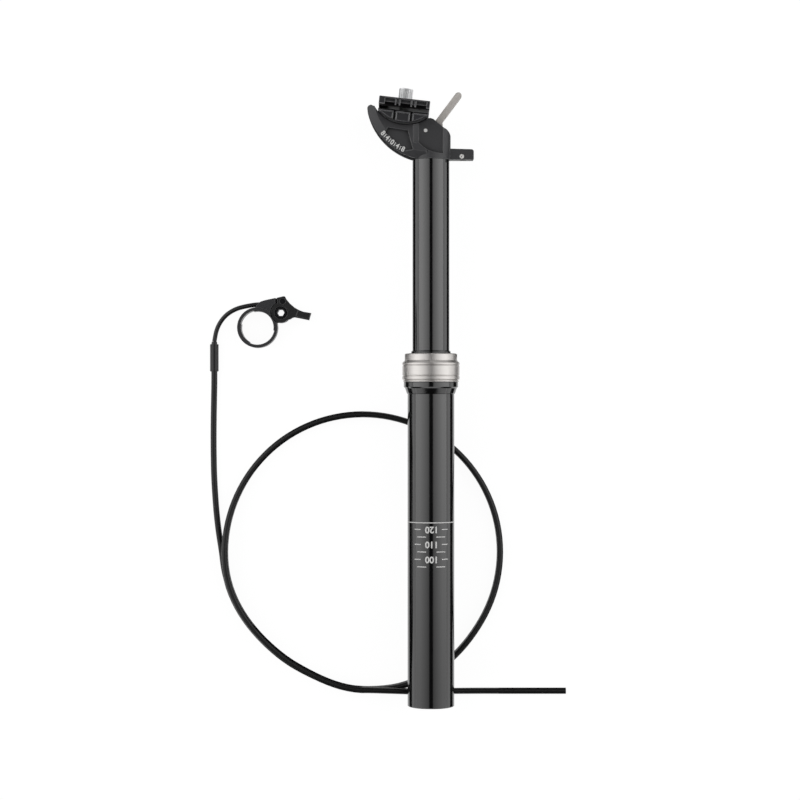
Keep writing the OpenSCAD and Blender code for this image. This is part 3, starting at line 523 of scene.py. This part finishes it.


# Remote
# Body and paddle are forged aluminium, anodised black: the body satin, the paddle darker. Both get a
# painted highlight on their edges and painted shade in their hollows. The hollow pivot bolt is turned
# steel in black oxide.
for name, colour, part in (("satin_black_anodised_aluminium", "#303032", "remote_body"),
                           ("burnished_black_anodised_aluminium", "#161617", "paddle")):
    satin, tree, shader = finish_of(name)
    edge, edge_highlight, hollow_shade = rubbed_edges(tree, 0.8 * mm)
    grain = grain_on(tree, 1.2, detail=4.0)
    # Painted highlight: a light grey on the edges
    tone = add(tree, "ShaderNodeMix", {0: edge_highlight, 6: linear(colour), 7: linear("#6E6E70")}, data_type="RGBA")
    # Painted shade: near black in the hollows
    tone = add(tree, "ShaderNodeMix", {0: hollow_shade, 6: tone.outputs[2], 7: linear("#040404")},
               data_type="RGBA")
    tree.links.new(tone.outputs[2], shader.inputs["Base Color"])
    rough = add(tree, "ShaderNodeMapRange", {"Value": grain, "To Min": 0.28, "To Max": 0.42})
    tree.links.new(rough.outputs["Result"], shader.inputs["Roughness"])
    bump = add(tree, "ShaderNodeBump", {"Height": grain, "Normal": edge, "Strength": 0.2,
                                        "Distance": 0.2 * mm})
    tree.links.new(bump.outputs["Normal"], shader.inputs["Normal"])
    dress(satin, part)
dress(oxide, "pivot_bolt")


# Noodle and housing cup
# The noodle is a thin steel tube bent to a quarter turn, and the cup on its end is a pressed ferrule
# that takes the housing. Both are coated black.
coated, tree, shader = finish_of("black_powder_coat", {"Roughness": 0.3})
grain = grain_on(tree, 0.7)
tone = add(tree, "ShaderNodeMix", {0: grain, 6: linear("#0D0D0E"), 7: linear("#171718")}, data_type="RGBA")
tree.links.new(tone.outputs[2], shader.inputs["Base Color"])
bump = add(tree, "ShaderNodeBump", {"Height": grain, "Strength": 0.15, "Distance": 0.2 * mm})
tree.links.new(bump.outputs["Normal"], shader.inputs["Normal"])
dress(coated, "noodle", "housing_cup")

noodle_r = 1.55 * mm
noodle_points = [
    (-117.4, 272, 6.2), (-120, 271.8, 6.2), (-124, 271.2, 6.2), (-128, 270.4, 6), (-132, 269.3, 5.7),
    (-135.6, 267.7, 5.3), (-138.9, 265.6, 4.8), (-141.7, 263, 4.3), (-144, 260, 3.8),
    (-145.8, 256.7, 3.4), (-147.1, 253, 3.1), (-147.9, 249, 2.95), (-148.3, 246.5, 2.95),
]
noodle = tube_curve("noodle_tube", smooth_route(from_surface(noodle_points)), noodle_r)
noodle.data.materials.append(coated)
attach(noodle, "tube")
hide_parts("noodle")


# Floor, backdrop and lamps
# A white table with a faint shadow. It glows for the camera and in reflections, so that it is white
# there while the lamps stay at a plain level.
middle_y = 0.2
floor_gap = 0.05 * mm
bpy.ops.mesh.primitive_plane_add(size=8, location=(0, middle_y, surface - floor_gap))
floor = bpy.context.object
floor.name = "floor"
paper, tree, shader = finish_of("white_paper")
tree.nodes.remove(shader)
path = add(tree, "ShaderNodeLightPath")
seen = add(tree, "ShaderNodeMath", {0: path.outputs["Is Camera Ray"], 1: path.outputs["Is Glossy Ray"]},
           operation="MAXIMUM")
seen = add(tree, "ShaderNodeMath", {0: seen.outputs[0], 1: path.outputs["Is Transmission Ray"]},
           operation="MAXIMUM")
lit = add(tree, "ShaderNodeBsdfDiffuse", {"Color": linear("#5E5E5E")})
glow = add(tree, "ShaderNodeEmission", {"Strength": 0.95})
dark = add(tree, "ShaderNodeEmission", {"Strength": 0.0})
lift = add(tree, "ShaderNodeMixShader", {0: seen.outputs[0], 1: dark.outputs[0], 2: glow.outputs[0]})
both = add(tree, "ShaderNodeAddShader", {0: lit.outputs[0], 1: lift.outputs[0]})
tree.links.new(both.outputs[0], tree.nodes["Material Output"].inputs["Surface"])
floor.data.materials.append(paper)

# Two large softboxes, one on each side, brighter towards their outer edges, with a dark gap overhead. An
# energy of pi for each square metre gives a radiance of 1, which the strength then shapes.
softbox_wide = 1.94
softbox_long = 1.9
softbox_out = 0.95
for side in (-1, 1):
    lamp_data = bpy.data.lights.new("softbox", "AREA")
    lamp_data.shape = "RECTANGLE"
    lamp_data.size = softbox_wide
    lamp_data.size_y = softbox_long
    lamp_data.energy = math.pi * softbox_wide * softbox_long
    lamp_data.use_nodes = True
    tree = lamp_data.node_tree
    spot = add(tree, "ShaderNodeNewGeometry")
    spot = add(tree, "ShaderNodeSeparateXYZ", {"Vector": spot.outputs["Parametric"]})
    inner, outer = (0, 0.65) if side > 0 else (1, 0.35)
    across = add(tree, "ShaderNodeMapRange", {"Value": spot.outputs["X"], "From Min": inner,
                                              "From Max": outer, "To Min": 0.6, "To Max": 1.55})
    along = add(tree, "ShaderNodeMapRange", {"Value": spot.outputs["Y"], "From Min": 0.3, "From Max": 0.55,
                                             "To Min": 0.6, "To Max": 1.1})
    level = add(tree, "ShaderNodeMath", {0: across.outputs["Result"], 1: along.outputs["Result"]},
                operation="MULTIPLY")
    tree.links.new(level.outputs[0], tree.nodes["Emission"].inputs["Strength"])
    lamp = bpy.data.objects.new("softbox", lamp_data)
    lamp.location = (side * softbox_out, middle_y, softbox_out)
    lamp.rotation_euler = (0, side * math.radians(45), 0)
    scene.collection.objects.link(lamp)

# Black flags on the table, which draw the thin dark lines near the tubes' edges: one pair beside the
# outer tube, and one nearer beside the stanchion. Only reflections see them.
flag_black = finish_of("black_flag", {"Base Color": linear("#050505"), "Roughness": 0.9})[0]
flag_gap = 0.02 * mm
flag_spans = ((47, 118, -250, 235), (29, 78, 235, 650))
flags = bmesh.new()
for side in (-1, 1):
    for inner, outer, low, high in flag_spans:
        flat_bar(flags, side * inner * mm, side * outer * mm, low * mm, high * mm)
bmesh.ops.translate(flags, vec=(0, 0, surface - flag_gap), verts=flags.verts)
bmesh.ops.recalc_face_normals(flags, faces=flags.faces[:])
flag_mesh = bpy.data.meshes.new("flags")
flags.to_mesh(flag_mesh)
flag_mesh.materials.append(flag_black)
flag = bpy.data.objects.new("flags", flag_mesh)
scene.collection.objects.link(flag)
flag.visible_camera = False
flag.visible_diffuse = False
flag.visible_shadow = False
flag.visible_transmission = False

# A dim room, light at the horizon, that the camera sees as white
world = bpy.data.worlds.new("studio")
world.use_nodes = True
scene.world = world
tree = world.node_tree
sky = add(tree, "ShaderNodeTexCoord")
rise = add(tree, "ShaderNodeSeparateXYZ", {"Vector": sky.outputs["Generated"]})
level = add(tree, "ShaderNodeMapRange", {"Value": rise.outputs["Z"], "From Min": 0.12, "From Max": 0.2,
                                         "To Min": 0.9, "To Max": 0.02})
path = add(tree, "ShaderNodeLightPath")
strength = add(tree, "ShaderNodeMix", {0: path.outputs["Is Camera Ray"], 2: level.outputs["Result"], 3: 1.0},
               data_type="FLOAT")
tree.links.new(strength.outputs[0], tree.nodes["Background"].inputs["Strength"])
tree.nodes["Background"].inputs["Color"].default_value = linear("#FFFFFF")
